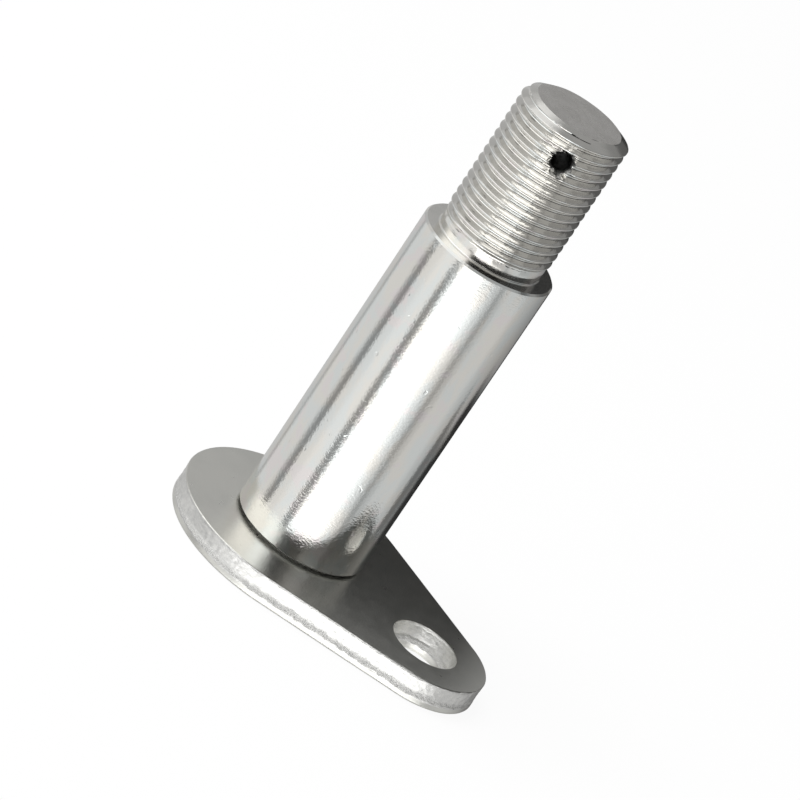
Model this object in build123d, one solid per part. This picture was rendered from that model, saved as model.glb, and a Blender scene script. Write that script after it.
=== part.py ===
"""Tie rod pin: a turned steel pin welded into a blanked lock plate.

The plate is a pear-shaped blank with a bolt hole in its small end. The pin stands
on it with a ground shank for the tie rod's bearing, a shoulder, and a stud for a
slotted nut, cross-drilled for the split pin that locks the nut. The pin's spigot
passes through the plate and is welded to it from below, in a groove, flush.

Frame: the origin is on the pin's axis in the plate's underside, +Z runs along the
pin towards the stud, and +X points at the bolt hole. All sizes are in millimetres.
"""

import math
import os

from build123d import *

# Pin, from the plate upwards
SHANK_DIAMETER = 22.0
SHANK_LENGTH = 55.0
SHANK_BASE_CHAMFER = 0.6
SHOULDER_CHAMFER = 0.3
NECK_DIAMETER = 17.3
NECK_LENGTH = 3.4
NECK_FILLET = 0.5
STUD_DIAMETER = 17.85
STUD_LENGTH = 25.0
STUD_RUNOUT = 0.4
END_FLAT_DIAMETER = 14.2
END_CHAMFER_HEIGHT = 0.9

# Split pin hole, across the stud
SPLIT_PIN_HOLE_DIAMETER = 4.0
SPLIT_PIN_HOLE_BELOW_END = 5.0
SPLIT_PIN_HOLE_ANGLE = -58.0

# Lock plate
PLATE_THICKNESS = 4.5
HEAD_RADIUS = 20.0
EYE_RADIUS = 10.8
EYE_DISTANCE = 26.5
BOLT_HOLE_DIAMETER = 10.5
BOLT_HOLE_BREAKOUT = 0.25
BOLT_HOLE_LAND = 1.8

# Edge of the blank: rolled over below, sheared smooth, then torn up to the top face
EDGE_ROLL = 0.4
SHEARED_BAND = 1.25
TORN_INSET = 0.16

# Spigot and the weld that holds it
SPIGOT_DIAMETER = 16.0
WELD_GROOVE_DEPTH = 2.0
WELD_TOE_DEPTH = 0.5
WELD_CROWN = 0.4

# Heights that follow from the sizes above
SHANK_RADIUS = SHANK_DIAMETER / 2
SPIGOT_RADIUS = SPIGOT_DIAMETER / 2
SHOULDER_HEIGHT = PLATE_THICKNESS + SHANK_LENGTH
END_HEIGHT = SHOULDER_HEIGHT + STUD_LENGTH

# A cone with this alignment stands on its base
ON_BASE = (Align.CENTER, Align.CENTER, Align.MIN)


def turned(*outline):
    """Face in the XZ plane through points of radius and height, to be turned about Z."""
    return make_face(Plane.XZ * Polyline(*outline, close=True))


def corner(face, radius, height):
    """The face's corner at this radius and height."""
    return face.vertices().sort_by_distance((radius, 0, height))[0]


def make_pin():
    neck_radius = NECK_DIAMETER / 2
    stud_radius = STUD_DIAMETER / 2
    neck_top = SHOULDER_HEIGHT + NECK_LENGTH
    section = turned(
        (0, 0),
        (SPIGOT_RADIUS - WELD_GROOVE_DEPTH, 0),
        (SPIGOT_RADIUS, WELD_GROOVE_DEPTH),
        (SPIGOT_RADIUS, PLATE_THICKNESS),
        (SHANK_RADIUS - SHANK_BASE_CHAMFER, PLATE_THICKNESS),
        (SHANK_RADIUS, PLATE_THICKNESS + SHANK_BASE_CHAMFER),
        (SHANK_RADIUS, SHOULDER_HEIGHT - SHOULDER_CHAMFER),
        (SHANK_RADIUS - SHOULDER_CHAMFER, SHOULDER_HEIGHT),
        (neck_radius, SHOULDER_HEIGHT),
        (neck_radius, neck_top),
        (stud_radius, neck_top + STUD_RUNOUT),
        (stud_radius, END_HEIGHT - END_CHAMFER_HEIGHT),
        (END_FLAT_DIAMETER / 2, END_HEIGHT),
        (0, END_HEIGHT),
    )
    section = fillet(corner(section, neck_radius, SHOULDER_HEIGHT), NECK_FILLET)
    blank = revolve(section, Axis.Z)

    drill = Cylinder(SPLIT_PIN_HOLE_DIAMETER / 2, 2 * STUD_DIAMETER, rotation=(0, 90, 0))
    hole_height = END_HEIGHT - SPLIT_PIN_HOLE_BELOW_END
    return blank - Pos(0, 0, hole_height) * Rot(0, 0, SPLIT_PIN_HOLE_ANGLE) * drill


def pear(inset=0.0):
    """Outline of the blank: two arcs, head and eye, joined by their common tangents."""
    head = HEAD_RADIUS - inset
    eye = EYE_RADIUS - inset
    lean = math.acos((head - eye) / EYE_DISTANCE)
    reach = (math.cos(lean), math.sin(lean))
    head_touch = (head * reach[0], head * reach[1])
    eye_touch = (EYE_DISTANCE + eye * reach[0], eye * reach[1])
    head_touch_below = (head_touch[0], -head_touch[1])
    eye_touch_below = (eye_touch[0], -eye_touch[1])
    edges = [
        Line(head_touch, eye_touch),
        ThreePointArc(eye_touch, (EYE_DISTANCE + eye, 0), eye_touch_below),
        Line(eye_touch_below, head_touch_below),
        ThreePointArc(head_touch_below, (-head, 0), head_touch),
    ]
    return make_face(Curve() + edges)


def make_lock_plate():
    # The sheared band keeps the full outline, and its lower edge is rolled over
    band = extrude(pear(), SHEARED_BAND)
    band = fillet(band.edges().group_by(Axis.Z)[0], EDGE_ROLL)

    # The torn wall above it starts a little inside and leans out to the top edge
    torn_height = PLATE_THICKNESS - SHEARED_BAND
    torn_lean = math.degrees(math.atan(TORN_INSET / torn_height))
    torn = extrude(Pos(0, 0, PLATE_THICKNESS) * pear(), -torn_height, taper=torn_lean)
    plate = band + torn

    # The bolt hole is smooth through its lower land and breaks out wider above it
    land_radius = BOLT_HOLE_DIAMETER / 2
    flare_height = PLATE_THICKNESS - BOLT_HOLE_LAND
    hole = extrude(Circle(land_radius), PLATE_THICKNESS)
    flare = Cone(land_radius, land_radius + BOLT_HOLE_BREAKOUT, flare_height, align=ON_BASE)
    plate -= Pos(EYE_DISTANCE, 0, 0) * (hole + Pos(0, 0, BOLT_HOLE_LAND) * flare)

    # The spigot's hole is countersunk below to make the plate's side of the weld groove
    seat = extrude(Circle(SPIGOT_RADIUS), PLATE_THICKNESS)
    groove = Cone(SPIGOT_RADIUS + WELD_GROOVE_DEPTH, SPIGOT_RADIUS, WELD_GROOVE_DEPTH, align=ON_BASE)
    return plate - (seat + groove)


def make_weld_bead():
    inner_toe = (SPIGOT_RADIUS - WELD_GROOVE_DEPTH + WELD_TOE_DEPTH, WELD_TOE_DEPTH)
    outer_toe = (SPIGOT_RADIUS + WELD_GROOVE_DEPTH - WELD_TOE_DEPTH, WELD_TOE_DEPTH)
    crown = (SPIGOT_RADIUS, WELD_TOE_DEPTH - WELD_CROWN)
    root = (SPIGOT_RADIUS, WELD_GROOVE_DEPTH)
    edges = [
        Line(root, outer_toe),
        ThreePointArc(outer_toe, crown, inner_toe),
        Line(inner_toe, root),
    ]
    section = make_face(Plane.XZ * (Curve() + edges))
    return revolve(section, Axis.Z)


NODES = {
    "pin": make_pin,
    "lock_plate": make_lock_plate,
    "weld_bead": make_weld_bead,
}

os.makedirs("parts", exist_ok=True)
for name, make in NODES.items():
    solid = make()
    export_step(solid, f"parts/{name}.step")
    print(f"{name}: {solid.volume:.1f} mm3")
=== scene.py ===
# %% [markdown]
# A tie rod pin in Blender
#
# The object is a steering part of bright zinc plated steel: a turned pin with a thread on
# top, stood in a pear-shaped plate and welded to it from below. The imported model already
# has its true sizes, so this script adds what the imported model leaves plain: the helix of
# the thread, the torn edge of the blanked plate, the drilled hole's ragged mouth, the
# ripples of the weld, and the finishes. Everything is in metres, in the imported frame.

# %% The frame and its sizes
import math

import bmesh
import bpy
from mathutils import Matrix, Vector, noise


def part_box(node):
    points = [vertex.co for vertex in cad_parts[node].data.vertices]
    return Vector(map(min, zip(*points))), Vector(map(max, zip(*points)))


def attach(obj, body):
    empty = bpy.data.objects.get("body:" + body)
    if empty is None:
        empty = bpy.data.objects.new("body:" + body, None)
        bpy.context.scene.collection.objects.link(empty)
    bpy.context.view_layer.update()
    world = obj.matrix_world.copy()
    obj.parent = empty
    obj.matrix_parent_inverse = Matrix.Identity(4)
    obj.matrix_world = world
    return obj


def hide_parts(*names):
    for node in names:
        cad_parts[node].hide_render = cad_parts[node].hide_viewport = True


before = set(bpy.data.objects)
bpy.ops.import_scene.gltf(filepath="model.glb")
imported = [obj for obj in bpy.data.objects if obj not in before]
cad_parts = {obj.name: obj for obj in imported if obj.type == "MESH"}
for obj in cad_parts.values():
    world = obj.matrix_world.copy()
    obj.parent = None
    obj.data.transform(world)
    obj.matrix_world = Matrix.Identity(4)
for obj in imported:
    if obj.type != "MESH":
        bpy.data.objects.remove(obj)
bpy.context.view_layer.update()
MM = 0.001

pin_low, pin_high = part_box("pin")
plate_low, plate_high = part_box("lock_plate")
SHANK_RADIUS = pin_high.x
PIN_TOP = pin_high.z
PLATE_TOP = plate_high.z
HEAD_RADIUS = -plate_low.x
print("pin", SHANK_RADIUS, PIN_TOP, "plate", plate_low, plate_high)

# %% [markdown]
# Lengths that several pieces share are named once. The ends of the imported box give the
# rest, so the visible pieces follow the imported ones.

# %% Shared lengths
SHANK_LENGTH = 55.0 * MM
SHOULDER_Z = PLATE_TOP + SHANK_LENGTH
SPIGOT_RADIUS = 8.0 * MM
WELD_GROOVE = 2.0 * MM
EYE_DISTANCE = 26.5 * MM
EYE_RADIUS = plate_high.x - EYE_DISTANCE
BOLT_HOLE_RADIUS = 5.25 * MM
# heights closer than this are the same
HAIR = 0.001 * MM
print("shoulder", SHOULDER_Z, "eye radius", EYE_RADIUS)

# %% [markdown]
# The camera stands where the photograph was taken from: to the right of the front, above
# the plate, and rolled so that the pin leans to the right. It could be moved by hand until
# the outlines match. Instead its place and its three angles were fitted to the outlines of
# plate, shank and stud, which is closer. A long lens keeps the shank's sides almost parallel.

# %% Camera
CAMERA_PLACE = Vector((214.9, -599.54, 294.48)) * MM
CAMERA_AZIMUTH = math.radians(19.592)
CAMERA_ELEVATION = math.radians(22.436)
CAMERA_ROLL = math.radians(33.839)
# millimetres, as a lens is named
SENSOR_WIDTH = 36
LENS_LENGTH = 207.36


def make_camera():
    a, e, r = CAMERA_AZIMUTH, CAMERA_ELEVATION, CAMERA_ROLL
    back = Vector((math.sin(a) * math.cos(e), -math.cos(a) * math.cos(e), math.sin(e)))
    level_right = Vector((math.cos(a), math.sin(a), 0))
    level_up = back.cross(level_right)
    right = level_right * math.cos(r) + level_up * math.sin(r)
    up = level_up * math.cos(r) - level_right * math.sin(r)
    lens = bpy.data.cameras.new("camera")
    lens.sensor_width = SENSOR_WIDTH
    lens.lens = LENS_LENGTH
    camera = bpy.data.objects.new("camera", lens)
    turn = Matrix((right, up, back)).transposed().to_4x4()
    camera.matrix_world = Matrix.Translation(CAMERA_PLACE) @ turn
    bpy.context.scene.collection.objects.link(camera)
    bpy.context.scene.camera = camera
    return camera


camera = make_camera()
print("camera", tuple(round(x, 4) for x in camera.matrix_world.translation))

# %% [markdown]
# A shader is a tree of nodes. Its sums could be joined up one node at a time, but they are
# easier to read as Python. So `Wire` wraps a socket, and adding or multiplying two of them
# puts a Math node in the tree. The reflected forms let a plain number stand first.


# %% A wire of a shader
class Wire:
    """An output socket of one shader tree."""

    def __init__(self, tree, socket):
        self.tree = tree
        self.socket = socket

    def math(self, operation, *others, swap=False):
        values = [self, *others]
        if swap:
            values.reverse()
        return self.tree.node("ShaderNodeMath", {"operation": operation}, dict(enumerate(values)))

    def __add__(self, other):
        return self.math("ADD", other)

    def __radd__(self, other):
        return self.math("ADD", other)

    def __sub__(self, other):
        return self.math("SUBTRACT", other)

    def __rsub__(self, other):
        return self.math("SUBTRACT", other, swap=True)

    def __mul__(self, other):
        return self.math("MULTIPLY", other)

    def __rmul__(self, other):
        return self.math("MULTIPLY", other)

    def __truediv__(self, other):
        return self.math("DIVIDE", other)

    def __rtruediv__(self, other):
        return self.math("DIVIDE", other, swap=True)

    def step(self, start, end):
        """0 below start, 1 above end, and smooth between them."""
        ends = {"From Min": start, "From Max": end}
        return self.tree.node(
            "ShaderNodeMapRange", {"interpolation_type": "SMOOTHSTEP"}, {"Value": self, **ends}
        )


print("wire ready")

# %% [markdown]
# `Tree` holds the nodes of one material or of the world, and one method adds every kind of
# node. Marks of the lathe run round the pin. An angle round Z would jump where the circle
# closes, so `rings` gives coordinates on a circle, which have no seam.


# %% A tree of shader nodes
class Tree:
    """The nodes of one material, or of the world."""

    def __init__(self, owner):
        owner.use_nodes = True
        self.nodes = owner.node_tree.nodes
        self.links = owner.node_tree.links
        self.nodes.clear()

    def node(self, kind, settings=None, inputs=None, output=0):
        """Adds a node, sets it, joins its inputs, and returns one of its outputs."""
        made = self.nodes.new(kind)
        for name, value in (settings or {}).items():
            setattr(made, name, value)
        for name, value in (inputs or {}).items():
            if isinstance(value, Wire):
                self.links.new(value.socket, made.inputs[name])
            else:
                made.inputs[name].default_value = value
        return Wire(self, made.outputs[output]) if made.outputs else made

    def place(self):
        """Object coordinates: where a point of the piece is, in metres."""
        return self.node("ShaderNodeTexCoord", output="Object")

    def split(self, vector):
        """The three parts of a vector."""
        first = self.node("ShaderNodeSeparateXYZ", {}, {0: vector})
        return [Wire(self, part) for part in first.socket.node.outputs]

    def mix(self, factor, a, b):
        """A colour between a and b. Inputs 6 and 7 are the Mix node's colours, and output 2."""
        return self.node(
            "ShaderNodeMix", {"data_type": "RGBA"}, {0: factor, 6: a, 7: b}, output=2
        )

    def noise(self, scale, coordinates, detail=2.0, roughness=0.5):
        inputs = {"Vector": coordinates, "Scale": scale, "Detail": detail, "Roughness": roughness}
        return self.node("ShaderNodeTexNoise", {}, inputs)

    def rings(self, around, across):
        """Coordinates for marks that run round Z. They have no seam."""
        x, y, z = self.split(self.place())
        far = (x * x + y * y).math("SQRT")
        inputs = {0: x / far * around, 1: y / far * around, 2: (far + z) * across}
        return self.node("ShaderNodeCombineXYZ", {}, inputs)

    def stretched(self, x, y, z):
        """Object coordinates, scaled per axis."""
        return self.node("ShaderNodeMapping", {}, {"Vector": self.place(), "Scale": (x, y, z)})


def grey(level):
    return (level, level, level, 1)


print("tree ready")

# %% [markdown]
# Bright metal shows its surroundings, so most of its look is made here. A room could be
# built of lamps and walls. Here it is drawn in the world by direction, because then each
# streak can be put at the angle at which the metal sees it. Light panels and dark gaps stand
# all round the part. The shank sees the low ones, which makes its long streaks. What looks
# down sees the deep ones, and what looks up, such as the plate and the thread's upper flanks,
# sees the high and steep ones. The camera itself sees plain white.

# %% Studio
TOWARDS_CAMERA = (math.sin(CAMERA_AZIMUTH), -math.cos(CAMERA_AZIMUTH), 0)
CAMERA_RIGHT = (math.cos(CAMERA_AZIMUTH), math.sin(CAMERA_AZIMUTH), 0)
# degrees round from the camera: start, end, softness before it, softness after it, brightness
LOW_PANELS = (
    (-136, -132, 3, 3, 0.42),
    (-125, -89, 8, 8, 0.70),
    (-79, -74, 14, 1, 0.27),
    (-72, -35, 1, 4, 0.76),
    (-50, -37, 14, 3, 0.86),
    (-32, -25, 3, 2, 0.30),
    (-18, 20, 5, 32, 1.35),
    (54, 57, 8, 1, 0.35),
    (58, 94, 1, 12, 0.50),
    (69, 94, 8, 12, 0.61),
    (165, 174, 5, 5, 0.03),
)
DEEP_PANELS = (
    (-30, 34, 16, 22, 2.4),
)
HIGH_PANELS = (
    (-200, -110, 1, 25, 0.50),
    (-85, -34, 34, 20, 1.5),
    (-15, 122, 14, 14, 0.01),
    (62, 84, 20, 20, 0.05),
    (94, 120, 12, 14, 0.06),
    (138, 165, 14, 10, 0.12),
)
STEEP_PANELS = (
    (-165, -120, 10, 10, 0.62),
    (120, 165, 15, 10, 0.28),
)
# where one part of the room turns into the next, as the height of a direction: 1 is straight up
LOW_TO_DEEP = (-0.45, -0.56)
DEEP_TO_GROUND = (-0.66, -0.78)
LOW_TO_HIGH = (0.02, 0.14)
HIGH_TO_STEEP = (0.40, 0.48)
STEEP_TO_TOP = (0.62, 0.75)


def add_panels(tree, round_, colour, panels):
    """Lays panels of light, one after the other, over a wall that stands all round."""
    for start, end, soft_start, soft_end, level in panels:
        inside = round_.step(start - soft_start, start) * round_.step(end + soft_end, end)
        colour = tree.mix(inside, colour, grey(level))
    return colour


def make_world():
    world = bpy.data.worlds.new("studio")
    bpy.context.scene.world = world
    tree = Tree(world)
    x, y, z = tree.split(tree.node("ShaderNodeTexCoord", output="Generated"))
    towards = x * TOWARDS_CAMERA[0] + y * TOWARDS_CAMERA[1]
    rightward = x * CAMERA_RIGHT[0] + y * CAMERA_RIGHT[1]
    round_ = rightward.math("ARCTAN2", towards) * math.degrees(1)
    low = tree.mix(round_.step(75, 175), grey(0.58), grey(0.22))
    low = tree.mix(round_.step(-168, -180), low, grey(0.22))
    low = add_panels(tree, round_, low, LOW_PANELS)
    deep = add_panels(tree, round_, low, DEEP_PANELS)
    low = tree.mix(z.step(*LOW_TO_DEEP), low, deep)
    low = tree.mix(z.step(*DEEP_TO_GROUND), low, grey(0.42))
    back = tree.mix(z.step(0.2, 0.45), grey(0.24), grey(0.40))
    high = add_panels(tree, round_, back, HIGH_PANELS)
    steep = add_panels(tree, round_, high, STEEP_PANELS)
    high = tree.mix(z.step(*HIGH_TO_STEEP), high, steep)
    top = tree.mix(rightward.step(-0.34, -0.06), grey(1.0), grey(0.38))
    high = tree.mix(z.step(*STEEP_TO_TOP), high, top)
    room = tree.mix(z.step(*LOW_TO_HIGH), low, high)
    seen = tree.node("ShaderNodeLightPath", output="Is Camera Ray")
    colour = tree.mix(seen, room, grey(1))
    light = tree.node("ShaderNodeBackground", {}, {"Color": colour})
    tree.node("ShaderNodeOutputWorld", {}, {"Surface": light})
    return world


make_world()
bpy.context.scene.view_settings.view_transform = "Standard"
print("world made, nodes", len(bpy.context.scene.world.node_tree.nodes))

# %% [markdown]
# The floor is pale paper. Lamps alone would leave it grey towards the edges of the picture,
# so where the camera sees it, it glows too, just so much that the soft shadow of the part
# stays. From below it is clear, so the underside can be looked at. It lies a hair below the
# part, because two faces in one plane draw false lines. One broad soft lamp hangs above on
# the left.

# %% Floor and lamp
FLOOR_SIZE = 6.0
FLOOR_GAP = 0.05 * MM
FLOOR_GLOW = 0.93


def make_floor():
    shape = bmesh.new()
    bmesh.ops.create_grid(shape, x_segments=1, y_segments=1, size=FLOOR_SIZE / 2)
    bmesh.ops.translate(shape, verts=shape.verts, vec=(0, 0, -FLOOR_GAP))
    mesh = bpy.data.meshes.new("floor")
    shape.to_mesh(mesh)
    shape.free()
    floor = bpy.data.objects.new("floor", mesh)
    bpy.context.scene.collection.objects.link(floor)
    material = bpy.data.materials.new("floor_paper")
    tree = Tree(material)
    paper = tree.node("ShaderNodeBsdfDiffuse", {}, {"Color": grey(0.8)})
    glow = tree.node("ShaderNodeEmission", {}, {"Color": grey(1), "Strength": 1.0})
    seen = tree.node("ShaderNodeLightPath", output="Is Camera Ray")
    both = tree.node("ShaderNodeMixShader", {}, {0: seen * FLOOR_GLOW, 1: paper, 2: glow})
    clear = tree.node("ShaderNodeBsdfTransparent")
    under = tree.node("ShaderNodeNewGeometry", output="Backfacing")
    sided = tree.node("ShaderNodeMixShader", {}, {0: under, 1: both, 2: clear})
    tree.node("ShaderNodeOutputMaterial", {}, {"Surface": sided})
    mesh.materials.append(material)
    floor.visible_glossy = False
    return floor


floor = make_floor()


def add_lamp(name, place, size, power):
    data = bpy.data.lights.new(name, "AREA")
    data.shape = "DISK"
    data.size = size
    data.energy = power
    lamp = bpy.data.objects.new(name, data)
    lamp.location = place
    lamp.rotation_mode = "QUATERNION"
    lamp.rotation_quaternion = Vector(place).to_track_quat("Z", "Y")
    bpy.context.scene.collection.objects.link(lamp)
    return lamp


lamp = add_lamp("soft_top_lamp", (-0.35, -0.15, 0.75), size=0.5, power=6.0)
lamp.visible_glossy = False
print("floor and lamp made:", floor.name, lamp.name)

# %% [markdown]
# A photographer stands cards beside shiny things. The world can't do their work, because it
# looks the same from every point, while a card near the pin is seen by one part of it only.
# Dark ones, called flags, stand behind the pin: one for the plate, one for its small end and
# one for the shoulder. Lighter ones stand in front and to both sides, above the plate, for
# the thread. Only the metal sees the cards.

# %% Cards
# degrees round from the camera, distance from the pin's axis, left, right, bottom, top and
# softness in millimetres as the pin sees them, brightness
CARDS = {
    "low_flag": (180, 22, 1, 30, -4, 25, 10, 0.03),
    "stud_flag": (180, 24, 3, 15, 60, 75, 4, 0.04),
    "side_flag": (180, 22, 36, 64, -22, 12, 8, 0.16),
    "grey_card": (33, 70, -16, 18, 38, 62, 3, 0.54),
    "front_card": (62, 60, -12, 12, 43, 66, 3, 0.60),
    "right_card": (92, 60, -18, 24, 43, 66, 4, 0.44),
    "left_card": (-75, 70, -36, 34, 39, 62, 3, 0.80),
    "light_card": (-28, 70, -11, 7, 39, 62, 3, 0.90),
}


def card_paper(name, across, edges, soft, level):
    """Even in the middle, and clear past its soft edges."""
    start, end, bottom, top = edges
    material = bpy.data.materials.new(name)
    tree = Tree(material)
    x, y, z = tree.split(tree.place())
    beside = (x * across.x + y * across.y) * (1 / MM)
    up = z * (1 / MM)
    inside = beside.step(start - soft, start) * beside.step(end + soft, end)
    inside = inside * up.step(bottom - soft, bottom) * up.step(top + soft, top)
    clear = tree.node("ShaderNodeBsdfTransparent")
    paper = tree.node("ShaderNodeEmission", {}, {"Color": grey(level)})
    both = tree.node("ShaderNodeMixShader", {}, {0: inside, 1: clear, 2: paper})
    tree.node("ShaderNodeOutputMaterial", {}, {"Surface": both})
    return material


def make_card(name, azimuth, distance, start, end, bottom, top, soft, level):
    angle = math.radians(azimuth)
    right = Vector(CAMERA_RIGHT)
    towards = Vector(TOWARDS_CAMERA)
    away = towards * math.cos(angle) + right * math.sin(angle)
    across = towards * math.sin(angle) - right * math.cos(angle)
    shape = bmesh.new()
    bmesh.ops.create_grid(shape, x_segments=1, y_segments=1, size=0.5)
    for v in shape.verts:
        beside = (start + end) / 2 + v.co.x * (end - start + 2 * soft)
        up = (bottom + top) / 2 + v.co.y * (top - bottom + 2 * soft)
        v.co = (across * beside + away * distance) * MM + Vector((0, 0, up * MM))
    mesh = bpy.data.meshes.new(name)
    shape.to_mesh(mesh)
    shape.free()
    mesh.materials.append(card_paper(name, across, (start, end, bottom, top), soft, level))
    card = bpy.data.objects.new(name, mesh)
    bpy.context.scene.collection.objects.link(card)
    card.visible_camera = False
    card.visible_diffuse = False
    card.visible_shadow = False


for card_name, numbers in CARDS.items():
    make_card(card_name, *numbers)
print("cards made", len(CARDS))

# %% [markdown]
# The finishes. Nearly all surfaces of the real part have the same bright zinc over steel.
# What differs is the surface under the zinc. A picture of worn metal could be laid on, but
# it would stretch round the pin, so every mark is noise that is read from a point's own
# place. The shank was ground: faint rings run round it, with a few tiny pits, and the clear
# coat over the zinc shows faint colours.


# %% Metal, and the ground shank
def metal(name, colour, roughness, bump, bump_distance):
    """colour, roughness and bump are functions that make a wire in a tree."""
    material = bpy.data.materials.new(name)
    tree = Tree(material)
    inputs = {"Metallic": 1.0, "Base Color": colour(tree), "Roughness": roughness(tree)}
    uneven = {"Strength": 1.0, "Distance": bump_distance, "Height": bump(tree)}
    inputs["Normal"] = tree.node("ShaderNodeBump", {}, uneven)
    shader = tree.node("ShaderNodeBsdfPrincipled", {}, inputs)
    tree.node("ShaderNodeOutputMaterial", {}, {"Surface": shader})
    return material


WARM_ZINC = (0.87, 0.85, 0.80, 1)
COOL_ZINC = (0.825, 0.85, 0.835, 1)
ROSE_ZINC = (0.87, 0.83, 0.815, 1)
# the flanks' colour: duller zinc, darkened further as painted shade of the thread's grooves
FLANK_ZINC_AND_SHADE = (0.71, 0.70, 0.67, 1)


def zinc_tint(tree):
    """The clear coat over the zinc gives faint straw, rose and blue-green patches."""
    drift = tree.noise(1, tree.stretched(330, 330, 130), detail=3)
    rose = tree.noise(1, tree.stretched(240, 240, 240), detail=4)
    colour = tree.mix(drift.step(0.42, 0.60), WARM_ZINC, COOL_ZINC)
    return tree.mix(rose.step(0.55, 0.64), colour, ROSE_ZINC)


def ground_roughness(tree):
    grain = tree.noise(1, tree.stretched(300, 300, 3000), detail=3)
    return 0.06 + grain * 0.06


def ground_bump(tree):
    streaks = tree.noise(1, tree.rings(22, 3600), detail=2, roughness=0.6)
    pits = tree.noise(1, tree.stretched(900, 900, 900), detail=0)
    return streaks - pits.step(0.79, 0.85) * 0.8


ground_zinc = metal("ground_zinc", zinc_tint, ground_roughness, ground_bump, 0.021 * MM)
print("made", ground_zinc.name)

# %% [markdown]
# The thread was rolled and the neck was turned, and both have rings too, longer than the
# shank's. The flanks are darker than the crests: partly thinner zinc, since less settles on a
# flank, and partly painted shade of the grooves. The flanks could be a material of their own,
# but the rounded crests would then have a hard border, so the colour follows the slope instead.


# %% Thread and neck
def thread_colour_with_shade(tree):
    """Darker where the surface slopes as a flank does: partly thinner zinc, partly painted shade
    of the grooves.
    """
    slope = tree.split(tree.node("ShaderNodeTexCoord", output="Normal"))[2].math("ABSOLUTE")
    return tree.mix(slope.step(0.3, 0.7), zinc_tint(tree), FLANK_ZINC_AND_SHADE)


def thread_roughness(tree):
    return 0.04 + tree.noise(1, tree.stretched(700, 700, 700), detail=2) * 0.06


def thread_bump(tree):
    return tree.noise(1, tree.rings(13, 3500), detail=2, roughness=0.6)


def turned_roughness(tree):
    return 0.09 + tree.noise(1, tree.stretched(700, 700, 2500), detail=3) * 0.10


rolled_zinc = metal("rolled_zinc", thread_colour_with_shade, thread_roughness, thread_bump, 0.020 * MM)
turned_zinc = metal("turned_zinc", zinc_tint, turned_roughness, thread_bump, 0.010 * MM)
print("made", rolled_zinc.name, turned_zinc.name)

# %% [markdown]
# The end face is duller and greyer than the shank, with a fine even grain. The drilled hole
# is bare steel grey near its mouths and nearly black deep inside: the dark is painted shade
# of the narrow hole. One finish does both, by the distance from the pin's axis. The recess at
# the shank's foot takes the same grey, darker than the zinc, as painted shade of the gap.


# %% End face and drilled hole
def end_colour(tree):
    drift = tree.noise(1, tree.stretched(420, 420, 420), detail=4)
    return tree.mix(drift.step(0.38, 0.64), (0.65, 0.635, 0.61, 1), (0.595, 0.58, 0.555, 1))


def end_roughness(tree):
    return 0.22 + tree.noise(1, tree.stretched(700, 700, 700), detail=3) * 0.12


def end_bump(tree):
    return tree.noise(1, tree.stretched(800, 800, 800), detail=4, roughness=0.6)


end_zinc = metal("end_zinc", end_colour, end_roughness, end_bump, 0.03 * MM)


def bore_colour_painted_shade(tree):
    x, y, z = tree.split(tree.place())
    far = (x * x + y * y).math("SQRT") * (1 / MM)
    drift = tree.noise(1, tree.stretched(900, 900, 900), detail=3)
    # painted shade: nearly black deep in the hole, bare steel grey towards its mouths
    steel = tree.mix(drift.step(0.4, 0.7), (0.10, 0.10, 0.095, 1), (0.20, 0.20, 0.19, 1))
    return tree.mix((far + drift).step(7.3, 8.6), steel, (0.62, 0.62, 0.60, 1))


def bore_roughness(tree):
    return 0.40 + tree.noise(1, tree.stretched(900, 900, 900)) * 0.2


shaded_bore_steel = metal("shaded_bore_steel", bore_colour_painted_shade, bore_roughness, thread_bump, 0.03 * MM)
print("made", end_zinc.name, shaded_bore_steel.name)

# %% [markdown]
# The plate's faces keep the finish of the sheet, even and a little blurred. Its rounded
# lower edge is duller. The pin's shoulder and the end chamfer were faced in the lathe. They
# mirror more sharply than the sheet and have a fainter grain of the same kind, so they are
# made here too.


# %% Plate, shoulder and chamfer
def plate_colour(tree):
    drift = tree.noise(1, tree.stretched(90, 90, 90), detail=4)
    return tree.mix(drift.step(0.35, 0.65), (0.80, 0.795, 0.75, 1), (0.74, 0.74, 0.70, 1))


def plate_roughness(tree):
    return 0.24 + tree.noise(1, tree.stretched(500, 500, 500), detail=4) * 0.12


def plate_bump(tree):
    return tree.noise(1, tree.stretched(2600, 2600, 2600), detail=3, roughness=0.6)


def faced_colour(tree):
    drift = tree.noise(1, tree.stretched(300, 300, 300), detail=3)
    return tree.mix(drift.step(0.35, 0.65), (0.73, 0.72, 0.69, 1), (0.68, 0.675, 0.645, 1))


def faced_roughness(tree):
    return 0.13 + tree.noise(1, tree.stretched(700, 700, 700), detail=3) * 0.10


mill_zinc = metal("mill_zinc", plate_colour, plate_roughness, plate_bump, 0.02 * MM)
rolled_edge = metal("rolled_edge", plate_colour, bore_roughness, plate_bump, 0.02 * MM)
faced_zinc = metal("faced_zinc", faced_colour, faced_roughness, plate_bump, 0.004 * MM)
print("made", mill_zinc.name, rolled_edge.name, faced_zinc.name)

# %% [markdown]
# The torn wall of the plate sparkles: it is bright metal broken into fine grains. Grains
# that small would take millions of faces, so the mesh makes the coarse tearing, and a bump
# makes the grain. The weld is duller.


# %% Torn wall and weld
def torn_bump(tree):
    """Grainy all over, and torn deepest just above the sheared band and at the top edge."""
    grain = tree.noise(1, tree.stretched(4200, 4200, 5200), detail=4, roughness=0.7)
    x, y, z = tree.split(tree.place())
    drift = tree.noise(1, tree.stretched(700, 700, 700), detail=3)
    up = z * (1 / MM) + drift * 0.7 - 0.35
    tear = up.step(1.0, 1.35) * up.step(2.3, 1.5)
    brink = up.step(4.0, 4.5)
    return grain * (0.25 + tear * 1.0 + brink * 0.8)


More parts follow.
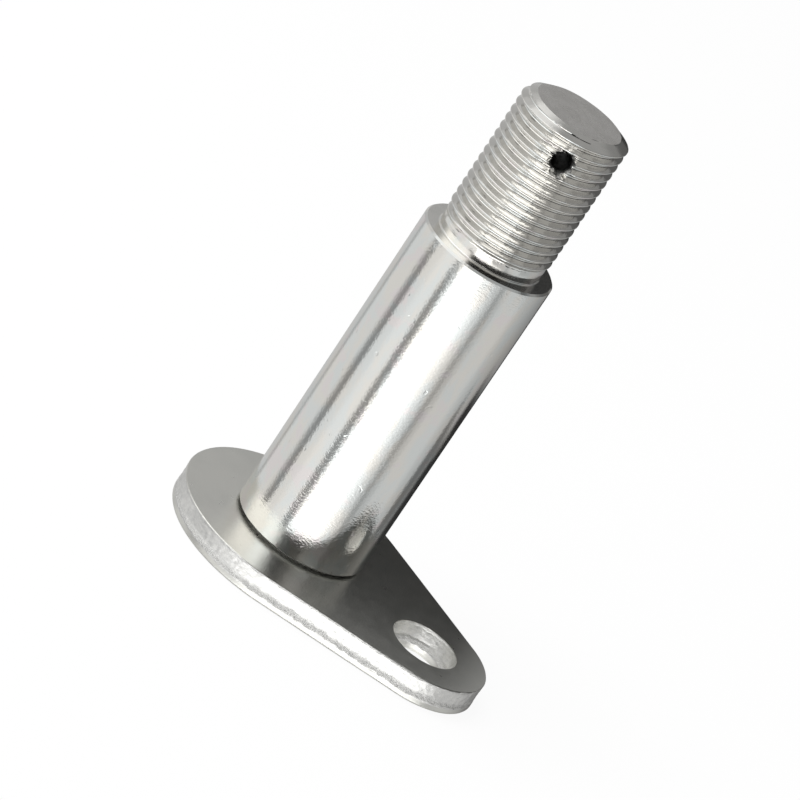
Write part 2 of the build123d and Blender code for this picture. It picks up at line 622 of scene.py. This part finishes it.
def torn_roughness(tree):
    return 0.22 + tree.noise(1, tree.stretched(1500, 1500, 1500), detail=2) * 0.2


def torn_colour(tree):
    drift = tree.noise(1, tree.stretched(1200, 1200, 1200), detail=3)
    return tree.mix(drift.step(0.35, 0.65), (0.87, 0.865, 0.84, 1), (0.79, 0.79, 0.77, 1))


torn_zinc = metal("torn_zinc", torn_colour, torn_roughness, torn_bump, 0.16 * MM)


def weld_colour(tree):
    drift = tree.noise(1, tree.stretched(400, 400, 400), detail=3)
    return tree.mix(drift.step(0.35, 0.7), (0.72, 0.70, 0.66, 1), (0.58, 0.58, 0.58, 1))


weld_zinc = metal("weld_zinc", weld_colour, torn_roughness, plate_bump, 0.03 * MM)
print("made", torn_zinc.name, weld_zinc.name)

# %% [markdown]
# Every piece is shaped as a bmesh and then turned into an object at the origin, with its
# place in its mesh. The pieces could be built from ready cylinders, but loops of edges that
# are spun and raised keep every layer under control. These helpers are shared.

# %% Helpers for meshes
def finish_mesh(name, shape, *materials):
    """Turns a bmesh into an object, with its doubles merged and its faces outwards."""
    bmesh.ops.remove_doubles(shape, verts=shape.verts, dist=0.0005 * MM)
    bmesh.ops.recalc_face_normals(shape, faces=shape.faces)
    mesh = bpy.data.meshes.new(name)
    shape.to_mesh(mesh)
    shape.free()
    for material in materials:
        mesh.materials.append(material)
    piece = bpy.data.objects.new(name, mesh)
    bpy.context.scene.collection.objects.link(piece)
    return piece


def smooth_by_angle(piece, angle):
    """Smooth shading, but crisp round level faces and at edges sharper than the angle."""
    shape = bmesh.new()
    shape.from_mesh(piece.data)
    for face in shape.faces:
        face.smooth = True
    for edge in shape.edges:
        level = {abs(face.normal.z) > 0.9999 for face in edge.link_faces}
        flat_enough = len(edge.link_faces) == 2 and edge.calc_face_angle(0) < angle
        edge.smooth = flat_enough and len(level) == 1
    shape.to_mesh(piece.data)
    shape.free()


def add_chain(shape, points):
    """A chain of edges through the points."""
    verts = [shape.verts.new(p) for p in points]
    edges = [shape.edges.new(pair) for pair in zip(verts, verts[1:])]
    return verts, edges


def raise_walls(shape, edges, height):
    """Extrudes a loop straight up and returns the new loop."""
    made = bmesh.ops.extrude_edge_only(shape, edges=edges)["geom"]
    verts = [g for g in made if isinstance(g, bmesh.types.BMVert)]
    bmesh.ops.translate(shape, verts=verts, vec=(0, 0, height))
    top = set(verts)
    return [g for g in made if isinstance(g, bmesh.types.BMEdge) and set(g.verts) <= top]


def count_up(piece):
    """What a mesh holds. A closed one has no open edges."""
    shape = bmesh.new()
    shape.from_mesh(piece.data)
    loose = sum(1 for e in shape.edges if len(e.link_faces) != 2)
    volume = shape.calc_volume() / MM**3
    triangles = sum(len(f.verts) - 2 for f in shape.faces)
    shape.free()
    return f"open edges {loose}, volume {volume:.0f} mm3, triangles {triangles}"


print("mesh helpers ready")

# %% [markdown]
# The thread is an M18 x 1.5, right-handed, on a stud that ends in a chamfer. The form of a
# standard thread follows from its diameter and pitch, so little of it has to be read off the
# photograph. Only its beginning is this part's own: it fades into the neck between
# `THREAD_START` and `THREAD_FULL`, and `CREST_PHASE` puts the crests where the photograph
# has them.

# %% Thread sizes
PITCH = 1.5 * MM
CREST_RADIUS = 8.925 * MM
NECK_RADIUS = 8.65 * MM
CREST_PHASE = 0.98 * MM
THREAD_START = SHOULDER_Z + 1.5 * MM
THREAD_FULL = THREAD_START + 1.9 * MM
THREAD_FOOT = THREAD_START - 0.2 * MM
NECK_TOP = THREAD_START - 0.4 * MM
END_FLAT_RADIUS = 7.1 * MM
CHAMFER_SLOPE = 2.0
CHAMFER_REACH = 1.0 * MM
ROUND_STEPS = 216
print("pitch", PITCH, "crest radius", CREST_RADIUS, "crests from", THREAD_START, "to", PIN_TOP)

# %% [markdown]
# The section of one pitch, from root to root. A plain zigzag would catch no light on its
# tips. On the real thread a bright line runs along each crest, because rolling rounds it,
# and more below than above. So the corners of the zigzag are rounded here, before the spin.

# %% Thread profile
CREST_HALF_WIDTH = 0.115 * MM
CREST_ROUNDING_ABOVE = 0.09 * MM
CREST_ROUNDING_BELOW = 0.16 * MM
ROOT_ROUNDING = 0.19 * MM
FLANK_LEAN = math.radians(30)


def round_corner(before, corner, after, radius, steps=4):
    """Points of the arc that rounds a corner between two straight lines."""
    corner = Vector(corner)
    back = (Vector(before) - corner).normalized()
    on = (Vector(after) - corner).normalized()
    half = back.angle(on) / 2
    outward = -(back + on).normalized()
    sideways = (on - back).normalized()
    centre = corner - outward * (radius / math.sin(half))
    swing = math.pi / 2 - half
    angles = [swing * (2 * i / steps - 1) for i in range(steps + 1)]
    return [centre + (outward * math.cos(a) + sideways * math.sin(a)) * radius for a in angles]


def half_profile(rounding):
    """Points (radius, height) from the middle of a crest up to the middle of a root."""
    crest = Vector((CREST_RADIUS, CREST_HALF_WIDTH))
    valley = PITCH / 2
    depth = (valley - CREST_HALF_WIDTH) / math.tan(FLANK_LEAN)
    sharp_root = Vector((CREST_RADIUS - depth, valley))
    beyond = Vector((CREST_RADIUS, PITCH - CREST_HALF_WIDTH))
    crest_arc = round_corner((CREST_RADIUS, 0), crest, sharp_root, rounding)
    root_arc = round_corner(crest, sharp_root, beyond, ROOT_ROUNDING)
    middle = (crest_arc[-1] + root_arc[0]) / 2
    return [*crest_arc, middle, *root_arc[:3]]


def thread_profile():
    """One pitch, from root to root. The crest is rounder below than above."""
    below = [Vector((r, -h)) for r, h in reversed(half_profile(CREST_ROUNDING_BELOW))]
    return below + half_profile(CREST_ROUNDING_ABOVE)


profile = thread_profile()
print("points in the profile", len(profile), "root radius", min(r for r, h in profile))

# %% [markdown]
# The thread. Rings that don't climb would look alike from afar, but their ends would be
# wrong at the neck and the chamfer. A Screw modifier could climb, but a spin with a rise
# makes the same helix and the mesh can be worked on at once. The section is spun once round
# Z while it climbs one pitch. Copies of that turn are stacked, so that the top of each meets
# the bottom of the next and they merge. Then the lowest turns are faded into the neck and
# the top ones are drawn in under the chamfer's cone.


# %% Thread
def shape_thread(shape, verts):
    """Fades the thread into the neck at the bottom, and cuts the end chamfer."""
    for v in verts:
        radius = math.hypot(v.co.x, v.co.y)
        share = (v.co.z - THREAD_START) / (THREAD_FULL - THREAD_START)
        share = min(max(share, 0), 1)
        share = (share * share * (3 - 2 * share)) ** 1.5
        wanted = NECK_RADIUS + (radius - NECK_RADIUS) * share
        wanted = min(wanted, END_FLAT_RADIUS + max(PIN_TOP - v.co.z, 0) * CHAMFER_SLOPE)
        v.co.x *= wanted / radius
        v.co.y *= wanted / radius


def trim(shape, height, upper):
    """Cuts a mesh level at a height, and drops what is above it or below it."""
    everything = shape.verts[:] + shape.edges[:] + shape.faces[:]
    bmesh.ops.bisect_plane(
        shape, geom=everything, dist=0.0002 * MM, plane_co=(0, 0, height), plane_no=(0, 0, 1),
        clear_outer=upper, clear_inner=not upper,
    )


def thread_shape():
    shape = bmesh.new()
    first = math.floor((THREAD_START - CREST_PHASE) / PITCH) - 1
    turns = math.ceil((PIN_TOP - THREAD_START) / PITCH) + 3
    points = [(r, 0, CREST_PHASE + first * PITCH + h) for r, h in profile]
    verts, edges = add_chain(shape, points)
    bmesh.ops.spin(
        shape, geom=verts + edges, cent=(0, 0, 0), axis=(0, 0, 1), angle=math.tau,
        steps=ROUND_STEPS, dvec=(0, 0, PITCH / ROUND_STEPS), use_merge=False,
    )
    turn = shape.faces[:]
    for i in range(1, turns):
        copied = bmesh.ops.duplicate(shape, geom=turn)["geom"]
        moved = [g for g in copied if isinstance(g, bmesh.types.BMVert)]
        bmesh.ops.translate(shape, verts=moved, vec=(0, 0, i * PITCH))
    bmesh.ops.remove_doubles(shape, verts=shape.verts, dist=0.002 * MM)
    shape_thread(shape, shape.verts)
    trim(shape, PIN_TOP, upper=True)
    trim(shape, THREAD_FOOT, upper=False)
    return shape


thread = thread_shape()
print("thread faces", len(thread.faces))

# %% [markdown]
# The pin was turned from one bar, so everything below the thread is a profile spun once
# round Z: spigot, shank, shoulder and neck. Stacked cylinders could make it too, but they
# would leave hidden faces inside. On the real part a dark line shows that the shank's foot
# doesn't quite reach the plate, so the profile has a low recess there. The thread is bridged
# to the neck, and a level face closes the end.

# %% Pin
GAP_HEIGHT = 0.38 * MM
GAP_RADIUS = 9.6 * MM
FOOT_CHAMFER = 0.22 * MM
SHOULDER_CHAMFER = 0.3 * MM
NECK_FILLET = 0.25 * MM
NECK_FOOT_RADIUS = 8.56 * MM
# the pin's finishes, in the order of its material slots
PIN_FINISHES = (ground_zinc, rolled_zinc, shaded_bore_steel, turned_zinc, end_zinc, faced_zinc)
GROUND, ROLLED, SHADED_STEEL, TURNED, END, FACED = range(6)


def neck_fillet(steps=6):
    """Points of the quarter circle between the shoulder and the neck."""
    points = []
    for i in range(steps + 1):
        angle = math.pi / 2 * i / steps
        out = NECK_FILLET * (1 - math.sin(angle))
        up = NECK_FILLET * (1 - math.cos(angle))
        points.append((NECK_FOOT_RADIUS + out, 0, SHOULDER_Z + up))
    return points


def add_plain_pin(shape):
    """Spins the spigot, shank, shoulder and neck."""
    points = [
        (0, 0, 0),
        (SPIGOT_RADIUS - WELD_GROOVE, 0, 0),
        (SPIGOT_RADIUS, 0, WELD_GROOVE),
        (SPIGOT_RADIUS, 0, PLATE_TOP),
        (GAP_RADIUS, 0, PLATE_TOP),
        (GAP_RADIUS, 0, PLATE_TOP + GAP_HEIGHT),
        (SHANK_RADIUS - FOOT_CHAMFER, 0, PLATE_TOP + GAP_HEIGHT),
        (SHANK_RADIUS, 0, PLATE_TOP + GAP_HEIGHT + FOOT_CHAMFER),
        (SHANK_RADIUS, 0, SHOULDER_Z - SHOULDER_CHAMFER),
        (SHANK_RADIUS - SHOULDER_CHAMFER, 0, SHOULDER_Z),
        *neck_fillet(),
        (NECK_RADIUS, 0, NECK_TOP),
    ]
    verts, edges = add_chain(shape, points)
    bmesh.ops.spin(
        shape, geom=verts + edges, cent=(0, 0, 0), axis=(0, 0, 1), angle=math.tau,
        steps=ROUND_STEPS, use_merge=True, use_duplicate=False,
    )


def rim_at(shape, height):
    """The open edges that lie at a height."""
    return [
        e for e in shape.edges
        if e.is_boundary and all(abs(v.co.z - height) < HAIR for v in e.verts)
    ]


def finish_of(face):
    """The slot of a face of the pin, by its height and slope."""
    height = face.calc_center_median().z
    if height > PIN_TOP - HAIR:
        return END
    if height > PIN_TOP - CHAMFER_REACH and 0.85 < abs(face.normal.z) < 0.94:
        return FACED
    if height > THREAD_START:
        return ROLLED
    if height > SHOULDER_Z + HAIR:
        return TURNED
    if height > SHOULDER_Z - HAIR:
        return FACED
    # the recess and the chamfer at the shank's foot get the bore's grey: painted shade of the gap
    if abs(height - (PLATE_TOP + GAP_HEIGHT / 2)) < GAP_HEIGHT:
        return SHADED_STEEL
    return GROUND


def make_pin_blank(shape):
    end_rim = rim_at(shape, PIN_TOP)
    bmesh.ops.edgeloop_fill(shape, edges=end_rim)
    add_plain_pin(shape)
    lower = rim_at(shape, NECK_TOP)
    upper = rim_at(shape, THREAD_FOOT)
    print("rims", len(end_rim), len(lower), len(upper))
    bmesh.ops.bridge_loops(shape, edges=lower + upper)
    bmesh.ops.recalc_face_normals(shape, faces=shape.faces)
    for face in shape.faces:
        face.material_index = finish_of(face)
    return finish_mesh("tie_rod_pin", shape, *PIN_FINISHES)


pin = make_pin_blank(thread)
print("pin blank:", count_up(pin))

# %% [markdown]
# The split pin hole was drilled through the finished thread, which tears the thin crests
# and leaves a ragged mouth. A black disc on the surface could stand for it, but it would
# have no depth from the side. So a Boolean takes a cylinder out of the pin. Its side is
# roughened near both mouths, and the crests round them are then pushed in by noise.

# %% Split pin hole
HOLE_RADIUS = 1.5 * MM
HOLE_Z = PIN_TOP - 5.0 * MM
HOLE_ANGLE = math.radians(-58)
HOLE_AXIS = Vector((math.cos(HOLE_ANGLE), math.sin(HOLE_ANGLE), 0))
HOLE_LENGTH = 22 * MM
HOLE_STEPS = 56
HOLE_LEVELS = 48
# how far from the pin's axis the hole turns ragged, and over what length it does so
RAGGED_FROM = 7.0 * MM
RAGGED_BLEND = 1.3 * MM
# how far from the hole's axis the crests are torn, over what width, and how deep in the pin
TEAR_REACH = 3.1 * MM
TEAR_BLEND = 1.3 * MM
TEAR_FLOOR = 7.7 * MM


def roughen_mouths(verts):
    """Widens a cylinder that lies along Z by ragged amounts, most near both mouths."""
    for v in verts:
        radius = math.hypot(v.co.x, v.co.y)
        depth = abs(v.co.z)
        near = min(max((depth - RAGGED_FROM) / RAGGED_BLEND, 0), 1)
        rough = noise.noise(v.co * 1400 + Vector((3, 1, 7)))
        fine = noise.noise(v.co * 4200)
        grow = (0.08 * rough + near * (0.38 + 0.55 * rough + 0.26 * fine)) * MM
        v.co.x *= 1 + grow / radius
        v.co.y *= 1 + grow / radius


def make_cutter():
    shape = bmesh.new()
    bmesh.ops.create_circle(shape, cap_ends=False, segments=HOLE_STEPS, radius=HOLE_RADIUS)
    bmesh.ops.translate(shape, verts=shape.verts, vec=(0, 0, -HOLE_LENGTH / 2))
    edges = shape.edges[:]
    for _ in range(HOLE_LEVELS):
        edges = raise_walls(shape, edges, HOLE_LENGTH / HOLE_LEVELS)
    roughen_mouths(shape.verts)
    bmesh.ops.edgeloop_fill(shape, edges=[e for e in shape.edges if e.is_boundary])
    turn = HOLE_AXIS.to_track_quat("Z", "Y").to_matrix().to_4x4()
    shape.transform(Matrix.Translation((0, 0, HOLE_Z)) @ turn)
    return finish_mesh("cutter", shape, shaded_bore_steel)


def cut(piece, cutter):
    """Takes the cutter out of the piece for good."""
    modifier = piece.modifiers.new("cut", "BOOLEAN")
    modifier.operation = "DIFFERENCE"
    modifier.material_mode = "TRANSFER"
    modifier.solver = "EXACT"
    modifier.object = cutter
    graph = bpy.context.evaluated_depsgraph_get()
    mesh = bpy.data.meshes.new_from_object(piece.evaluated_get(graph))
    piece.modifiers.clear()
    old = piece.data
    piece.data = mesh
    mesh.name = old.name
    bpy.data.meshes.remove(old)
    bpy.data.objects.remove(cutter)


def tear_mouths(piece):
    """Pushes the threads beside the hole inwards by ragged amounts."""
    centre = Vector((0, 0, HOLE_Z))
    for v in piece.data.vertices:
        away = v.co - centre
        far = (away - HOLE_AXIS * away.dot(HOLE_AXIS)).length
        radius = math.hypot(v.co.x, v.co.y)
        if far > TEAR_REACH or radius < TEAR_FLOOR:
            continue
        share = min((TEAR_REACH - far) / TEAR_BLEND, 1)
        rough = 0.12 + 0.7 * noise.noise(v.co * 1300 + Vector((2, 5, 1)))
        push = max(rough, 0) * share * 0.6 * MM
        v.co.x *= 1 - push / radius
        v.co.y *= 1 - push / radius


cut(pin, make_cutter())
tear_mouths(pin)
print("pin, drilled:", count_up(pin))

smooth_by_angle(pin, math.radians(32))
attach(pin, "root")
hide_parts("pin")

# %% [markdown]
# The plate's outline is a pear: a large arc, the head, a small one, the eye, and the two
# lines that touch both. It could be two discs and a hull round them. Spinning one point for
# each arc and joining their ends gives the same curve in even steps, as the torn wall needs.

# %% Plate outline
WALL_STEP = 0.25 * MM


def add_outline(shape):
    """Adds the outline as a closed loop of short edges at z 0, and returns the edges."""
    lean = math.asin((HEAD_RADIUS - EYE_RADIUS) / EYE_DISTANCE)
    side = math.pi / 2 - lean
    head_angle = math.tau - 2 * side
    head_steps = round(HEAD_RADIUS * head_angle / WALL_STEP)
    start = Vector((math.cos(side), math.sin(side), 0))
    first = shape.verts.new(start * HEAD_RADIUS)
    bmesh.ops.spin(
        shape, geom=[first], cent=(0, 0, 0), axis=(0, 0, 1), angle=head_angle,
        steps=head_steps, use_merge=False, use_duplicate=False,
    )
    eye_centre = Vector((EYE_DISTANCE, 0, 0))
    second = shape.verts.new(eye_centre + start * EYE_RADIUS)
    eye_steps = round(EYE_RADIUS * 2 * side / WALL_STEP)
    bmesh.ops.spin(
        shape, geom=[second], cent=eye_centre, axis=(0, 0, 1), angle=-2 * side,
        steps=eye_steps, use_merge=False, use_duplicate=False,
    )
    ends = [v for v in shape.verts if len(v.link_edges) == 1]
    upper = sorted((v for v in ends if v.co.y > 0), key=lambda v: v.co.x)
    lower = sorted((v for v in ends if v.co.y < 0), key=lambda v: v.co.x)
    straight_steps = round((upper[0].co - upper[1].co).length / WALL_STEP)
    sides = [shape.edges.new(pair) for pair in (upper, lower)]
    bmesh.ops.subdivide_edges(shape, edges=sides, cuts=straight_steps - 1)
    return shape.edges[:]


plate_shape = bmesh.new()
plate_foot = add_outline(plate_shape)
print("edges in the outline", len(plate_foot))

# %% [markdown]
# The plate's wall. The plate was blanked, which is punched out of sheet. A punch first rolls
# the edge over, then shears a smooth band, and the rest of the thickness tears away and
# leaves a grainy wall. Here the underside was towards the punch. A bump alone would keep the
# edges straight, and on the real plate they are ragged. So the outline is raised in thin
# layers, and noise pushes the torn ones inwards. The top edge is drawn in a little.

# %% Plate wall
EDGE_ROLL = 0.4 * MM
SHEARED_BAND = 1.25 * MM
TORN_INSET = 0.16 * MM
TOP_EDGE_ROLL = 0.12 * MM
# over what height the smooth wall turns torn, and how far below the top the tearing calms
TORN_BLEND = 0.18 * MM
CALM_TOP = 0.5 * MM
# Layers of the wall, in millimetres, closer together where the edge is rolled
LAYERS = [0.13, 0.13, 0.14] + [0.152] * 26
LAYERS.append(PLATE_TOP / MM - sum(LAYERS))


def outward(point):
    """The direction straight out of the plate's outline at a point near it."""
    lean = math.asin((HEAD_RADIUS - EYE_RADIUS) / EYE_DISTANCE)
    slope = math.tan(lean)
    along = Vector((point.x + abs(point.y) * slope, 0, 0))
    along.x = min(max(along.x, 0), EYE_DISTANCE)
    return (Vector((point.x, point.y, 0)) - along).normalized()


def torn_depth(place):
    """How far the tearing reaches into the wall at a place: 0 to about 0.15 mm."""
    coarse = noise.noise(place * 420)
    middle = noise.noise(place * 1300 + Vector((5, 0, 0)))
    fine = noise.noise(place * 3400)
    return max(0.05 + 0.03 * coarse + 0.05 * middle + 0.06 * fine, 0) * MM


def roughen_wall(verts):
    """Rolls the lower edge, tears the wall above a ragged line, and draws in the top edge."""
    for v in verts:
        z = v.co.z
        out = outward(v.co)
        if z < EDGE_ROLL:
            rest = EDGE_ROLL - z
            v.co -= out * (EDGE_ROLL - math.sqrt(max(EDGE_ROLL**2 - rest**2, 0)))
            continue
        flat = Vector((v.co.x, v.co.y, 0))
        ragged = 0.28 * noise.noise(flat * 260) + 0.20 * noise.noise(flat * 900)
        torn = min(max((z - SHEARED_BAND - ragged * MM) / TORN_BLEND, 0), 1)
        climb = min(max((z - SHEARED_BAND) / (PLATE_TOP - SHEARED_BAND), 0), 1)
        taper = 0.3 * TORN_INSET * (1 - climb)
        calm = min((PLATE_TOP - z) / CALM_TOP, 1)
        v.co -= out * torn * (taper + torn_depth(v.co) * calm)
        if z > PLATE_TOP - HAIR:
            v.co -= out * TOP_EDGE_ROLL


def raise_layers(shape, edges):
    """Raises a loop to the plate's top in thin layers, and returns the top loop."""
    for height in LAYERS:
        edges = raise_walls(shape, edges, height * MM)
    return edges


plate_rim = raise_layers(plate_shape, plate_foot)
roughen_wall(plate_shape.verts[:])
print("faces in the wall", len(plate_shape.faces))

# %% [markdown]
# The plate's holes and faces. The bolt hole was punched too, with a smooth land below and a
# torn part that widens to the top. The spigot's hole is countersunk below for the weld. Both
# could be cut out with Booleans, but raised walls are simpler: the bolt hole gets the same
# layers as the outer wall, and level faces below and above close the plate between all loops.

# %% Plate holes and faces
BOLT_LAND = 1.8 * MM
BOLT_BREAKOUT = 0.25 * MM
BOLT_HOLE_STEPS = 120
# the plate's finishes, in the order of its material slots
PLATE_FINISHES = (mill_zinc, torn_zinc, rolled_edge)
MILL, TORN, ROLLED_OVER = range(3)


def add_circle(shape, radius, steps, centre=(0, 0, 0)):
    """Adds a circle at z 0, and returns its edges."""
    verts = bmesh.ops.create_circle(shape, cap_ends=False, segments=steps, radius=radius)["verts"]
    bmesh.ops.translate(shape, verts=verts, vec=centre)
    return list({e for v in verts for e in v.link_edges})


def add_bolt_hole(shape):
    """Returns the lower and the upper loop of the bolt hole."""
    centre = Vector((EYE_DISTANCE, 0, 0))
    before = set(shape.verts)
    bottom = add_circle(shape, BOLT_HOLE_RADIUS, BOLT_HOLE_STEPS, centre)
    lowest = {v for e in bottom for v in e.verts}
    top = raise_layers(shape, bottom)
    for v in set(shape.verts) - before - lowest:
        flat = Vector((v.co.x, v.co.y, 0))
        ragged = 0.22 * noise.noise(flat * 500)
        torn = min(max((v.co.z - BOLT_LAND - ragged * MM) / TORN_BLEND, 0), 1)
        climb = min(max((v.co.z - BOLT_LAND) / (PLATE_TOP - BOLT_LAND), 0), 1)
        grow = 0.02 * MM + BOLT_BREAKOUT * climb + 0.5 * torn_depth(v.co)
        v.co += (flat - centre).normalized() * torn * grow
    return bottom, top


def add_spigot_hole(shape):
    """Returns the lower and the upper loop of the spigot's hole."""
    bottom = add_circle(shape, SPIGOT_RADIUS + WELD_GROOVE, ROUND_STEPS)
    seat = raise_walls(shape, bottom, WELD_GROOVE)
    narrower = SPIGOT_RADIUS / (SPIGOT_RADIUS + WELD_GROOVE)
    for v in {v for e in seat for v in e.verts}:
        v.co.x *= narrower
        v.co.y *= narrower
    return bottom, raise_walls(shape, seat, PLATE_TOP - WELD_GROOVE)


def make_plate(shape, foot, rim):
    bolt_foot, bolt_rim = add_bolt_hole(shape)
    spigot_foot, spigot_rim = add_spigot_hole(shape)
    for face in shape.faces:
        height = face.calc_center_median().z
        if SHEARED_BAND * 0.8 < height < PLATE_TOP - 0.1 * MM:
            face.material_index = TORN
        elif height < EDGE_ROLL:
            face.material_index = ROLLED_OVER
        else:
            face.material_index = MILL
    below = foot + bolt_foot + spigot_foot
    above = rim + bolt_rim + spigot_rim
    for edges, normal in ((below, (0, 0, -1)), (above, (0, 0, 1))):
        bmesh.ops.triangle_fill(
            shape, use_beauty=True, use_dissolve=False, edges=edges, normal=normal
        )
    return finish_mesh("pear_lock_plate", shape, *PLATE_FINISHES)


plate = make_plate(plate_shape, plate_foot, plate_rim)
smooth_by_angle(plate, math.radians(40))
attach(plate, "root")
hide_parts("lock_plate")
print("plate:", count_up(plate))

# %% [markdown]
# The weld. It was laid in one pass round the spigot, so its crown has the curved ripples of
# a puddle that froze again and again. A bump could draw them, but seen from low down it
# would show that it has no height. So the section is spun in narrow steps, and a sine that
# lags towards both toes lifts the crown, with some noise to make the ripples uneven.

# %% Weld bead
WELD_TOE = 0.5 * MM
WELD_CROWN = 0.4 * MM
WELD_STEPS = 320
RIPPLES = 44
RIPPLE_LAG = 0.16


def weld_section():
    """A shallow arc from toe to toe for the crown, and the root of the groove."""
    reach = WELD_GROOVE - WELD_TOE
    radius = (reach**2 + WELD_CROWN**2) / (2 * WELD_CROWN)
    arc = math.asin(reach / radius)
    points = []
    for i in range(9):
        angle = arc * (i / 4 - 1)
        depth = radius * math.cos(angle) - (radius - WELD_CROWN)
        points.append((SPIGOT_RADIUS + radius * math.sin(angle), 0, WELD_TOE - depth))
    return points + [(SPIGOT_RADIUS, 0, WELD_GROOVE)]


def ripple_crown(verts):
    """Lifts the crown in curved ripples, and leaves its toes where they are."""
    for v in verts:
        if v.co.z > WELD_TOE - HAIR:
            continue
        across = (math.hypot(v.co.x, v.co.y) - SPIGOT_RADIUS) / (WELD_GROOVE - WELD_TOE)
        angle = math.atan2(v.co.y, v.co.x) + RIPPLE_LAG * across**2
        ripple = math.sin(RIPPLES * angle + 2.6 * noise.noise(v.co * 260))
        height = 0.03 + 0.03 * ripple + 0.02 * noise.noise(v.co * 900)
        v.co.z += height * MM * (1 - across**2)


def make_weld():
    shape = bmesh.new()
    verts, edges = add_chain(shape, weld_section())
    edges.append(shape.edges.new((verts[-1], verts[0])))
    bmesh.ops.spin(
        shape, geom=verts + edges, cent=(0, 0, 0), axis=(0, 0, 1), angle=math.tau,
        steps=WELD_STEPS, use_merge=True, use_duplicate=False,
    )
    ripple_crown(shape.verts)
    return finish_mesh("weld_ring", shape, weld_zinc)


weld = make_weld()
smooth_by_angle(weld, math.radians(50))
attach(weld, "root")
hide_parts("weld_bead")
print("weld:", count_up(weld))
